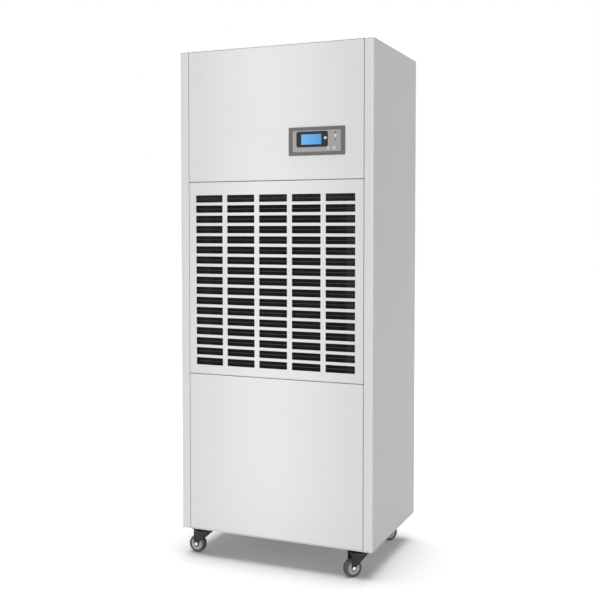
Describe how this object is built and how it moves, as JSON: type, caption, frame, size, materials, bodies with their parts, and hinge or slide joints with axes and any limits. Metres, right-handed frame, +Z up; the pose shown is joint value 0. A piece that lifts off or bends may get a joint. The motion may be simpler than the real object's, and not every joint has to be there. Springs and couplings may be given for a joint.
{
  "type": "dehumidifier",
  "caption": "Tall floor-standing refrigerant dehumidifier in a folded sheet cabinet with a slotted intake grille, top outlet, control panel and swivel casters.",
  "frame": {"origin": "on the floor, under the middle of the object's bounding box", "axes": "+Z up, the front with the grille and control panel faces -Y, +X to the right seen from the front"},
  "size_m": [0.6, 0.4352, 1.494],
  "materials": {
    "powder_coat": "light grey-white fine-texture powder coat, satin",
    "zinc_plated_steel": "zinc-plated sheet, soft sheen",
    "filter_plastic": "black moulded frame",
    "filter_net": "black woven nylon net",
    "coil_aluminium": "rolled fin stock",
    "stainless_steel": "brushed stainless sheet",
    "clear_hose": "milky flexible PVC",
    "black_plastic": "moulded black nylon",
    "black_enamel": "black enamel",
    "grommet_rubber": "soft black rubber",
    "copper_tube": "bright drawn copper",
    "grey_surround": "moulded mid-grey ABS",
    "grey_faceplate": "light grey overlay film",
    "dark_window": "dark smoked acrylic",
    "blue_screen": "backlit blue liquid-crystal screen",
    "pale_key": "pale moulded key cap",
    "dark_key": "dark moulded key cap",
    "caster_bracket": "black-coated pressed steel",
    "caster_tyre": "dark grey elastomer tyre on a pale moulded rim",
    "bright_axle": "bright plated axle bolt"
  },
  "bodies": {
    "cabinet": {"base_tray": "powder_coat", "left_side_panel": "powder_coat", "right_side_panel": "powder_coat", "back_panel": "powder_coat", "top_panel": "powder_coat", "upper_front_panel": "powder_coat", "lower_front_panel": "powder_coat", "lower_crossbar": "zinc_plated_steel", "upper_crossbar": "zinc_plated_steel", "fan_rail_front": "zinc_plated_steel", "fan_rail_rear": "zinc_plated_steel", "fan_volute": "zinc_plated_steel", "electrical_plate": "zinc_plated_steel", "evaporator_coil": "coil_aluminium", "condenser_coil": "coil_aluminium", "run_capacitor": "coil_aluminium", "drain_pan": "stainless_steel", "drain_hose": "clear_hose", "drain_spigot": "black_plastic", "cable_gland": "black_plastic", "contactor": "black_plastic", "compressor": "black_enamel", "accumulator": "black_enamel", "fan_motor": "black_enamel", "compressor_grommet_1": "grommet_rubber", "compressor_grommet_2": "grommet_rubber", "compressor_grommet_3": "grommet_rubber", "discharge_line": "copper_tube", "suction_line": "copper_tube", "liquid_line": "copper_tube", "display_frame": "grey_surround", "display_faceplate": "grey_faceplate", "display_window": "dark_window", "display_screen": "blue_screen", "caster_plate_front_left": "caster_bracket", "caster_plate_front_right": "caster_bracket", "caster_plate_rear_left": "caster_bracket", "caster_plate_rear_right": "caster_bracket"},
    "grille_unit": {"intake_grille_panel": "powder_coat", "filter_frame": "filter_plastic", "filter_mesh": "filter_net"},
    "fan_wheel": {"fan_impeller": "zinc_plated_steel"},
    "power_key_cap": {"power_key": "pale_key"},
    "up_key_cap": {"up_key": "dark_key"},
    "set_key_cap": {"set_key": "pale_key"},
    "down_key_cap": {"down_key": "dark_key"},
    "mode_key_cap": {"mode_key": "pale_key"},
    "fan_key_cap": {"fan_key": "pale_key"},
    "fork_front_left": {"caster_fork_front_left": "caster_bracket", "caster_axle_front_left": "bright_axle"},
    "wheel_front_left": {"caster_wheel_front_left": "caster_tyre"},
    "fork_front_right": {"caster_fork_front_right": "caster_bracket", "caster_axle_front_right": "bright_axle"},
    "wheel_front_right": {"caster_wheel_front_right": "caster_tyre"},
    "fork_rear_left": {"caster_fork_rear_left": "caster_bracket", "caster_axle_rear_left": "bright_axle"},
    "wheel_rear_left": {"caster_wheel_rear_left": "caster_tyre"},
    "fork_rear_right": {"caster_fork_rear_right": "caster_bracket", "caster_axle_rear_right": "bright_axle"},
    "wheel_rear_right": {"caster_wheel_rear_right": "caster_tyre"}
  },
  "joints": [
    {"name": "grille_lift_off", "type": "slide", "parent": "cabinet", "child": "grille_unit", "axis": [0, -1, 0], "range_m": [0, 0.06]},
    {"name": "fan_spin", "type": "hinge", "parent": "cabinet", "child": "fan_wheel", "pos_m": [0, -0.0255, 1.3328], "axis": [1, 0, 0], "continuous": true},
    {"name": "power_key_press", "type": "slide", "parent": "cabinet", "child": "power_key_cap", "axis": [0, 1, 0], "range_m": [0, 0.001], "stiffness_N_per_m": 400, "springref_m": -0.0005},
    {"name": "up_key_press", "type": "slide", "parent": "cabinet", "child": "up_key_cap", "axis": [0, 1, 0], "range_m": [0, 0.001], "stiffness_N_per_m": 400, "springref_m": -0.0005},
    {"name": "set_key_press", "type": "slide", "parent": "cabinet", "child": "set_key_cap", "axis": [0, 1, 0], "range_m": [0, 0.001], "stiffness_N_per_m": 400, "springref_m": -0.0005},
    {"name": "down_key_press", "type": "slide", "parent": "cabinet", "child": "down_key_cap", "axis": [0, 1, 0], "range_m": [0, 0.001], "stiffness_N_per_m": 400, "springref_m": -0.0005},
    {"name": "mode_key_press", "type": "slide", "parent": "cabinet", "child": "mode_key_cap", "axis": [0, 1, 0], "range_m": [0, 0.001], "stiffness_N_per_m": 400, "springref_m": -0.0005},
    {"name": "fan_key_press", "type": "slide", "parent": "cabinet", "child": "fan_key_cap", "axis": [0, 1, 0], "range_m": [0, 0.001], "stiffness_N_per_m": 400, "springref_m": -0.0005},
    {"name": "caster_swivel_front_left", "type": "hinge", "parent": "cabinet", "child": "fork_front_left", "pos_m": [-0.247, -0.177, 0.07], "axis": [0, 0, 1], "continuous": true},
    {"name": "caster_spin_front_left", "type": "hinge", "parent": "fork_front_left", "child": "wheel_front_left", "pos_m": [-0.267, -0.177, 0.026], "axis": [0, -1, 0], "continuous": true},
    {"name": "caster_swivel_front_right", "type": "hinge", "parent": "cabinet", "child": "fork_front_right", "pos_m": [0.247, -0.177, 0.07], "axis": [0, 0, 1], "continuous": true},
    {"name": "caster_spin_front_right", "type": "hinge", "parent": "fork_front_right", "child": "wheel_front_right", "pos_m": [0.23336, -0.19163, 0.026], "axis": [0.7314, -0.682, 0], "continuous": true},
    {"name": "caster_swivel_rear_left", "type": "hinge", "parent": "cabinet", "child": "fork_rear_left", "pos_m": [-0.247, 0.162, 0.07], "axis": [0, 0, 1], "continuous": true},
    {"name": "caster_spin_rear_left", "type": "hinge", "parent": "fork_rear_left", "child": "wheel_rear_left", "pos_m": [-0.26579, 0.15516, 0.026], "axis": [0.342, -0.9397, 0], "continuous": true},
    {"name": "caster_swivel_rear_right", "type": "hinge", "parent": "cabinet", "child": "fork_rear_right", "pos_m": [0.247, 0.162, 0.07], "axis": [0, 0, 1], "continuous": true},
    {"name": "caster_spin_rear_right", "type": "hinge", "parent": "fork_rear_right", "child": "wheel_rear_right", "pos_m": [0.23336, 0.14737, 0.026], "axis": [0.7314, -0.682, 0], "continuous": true}
  ]
}
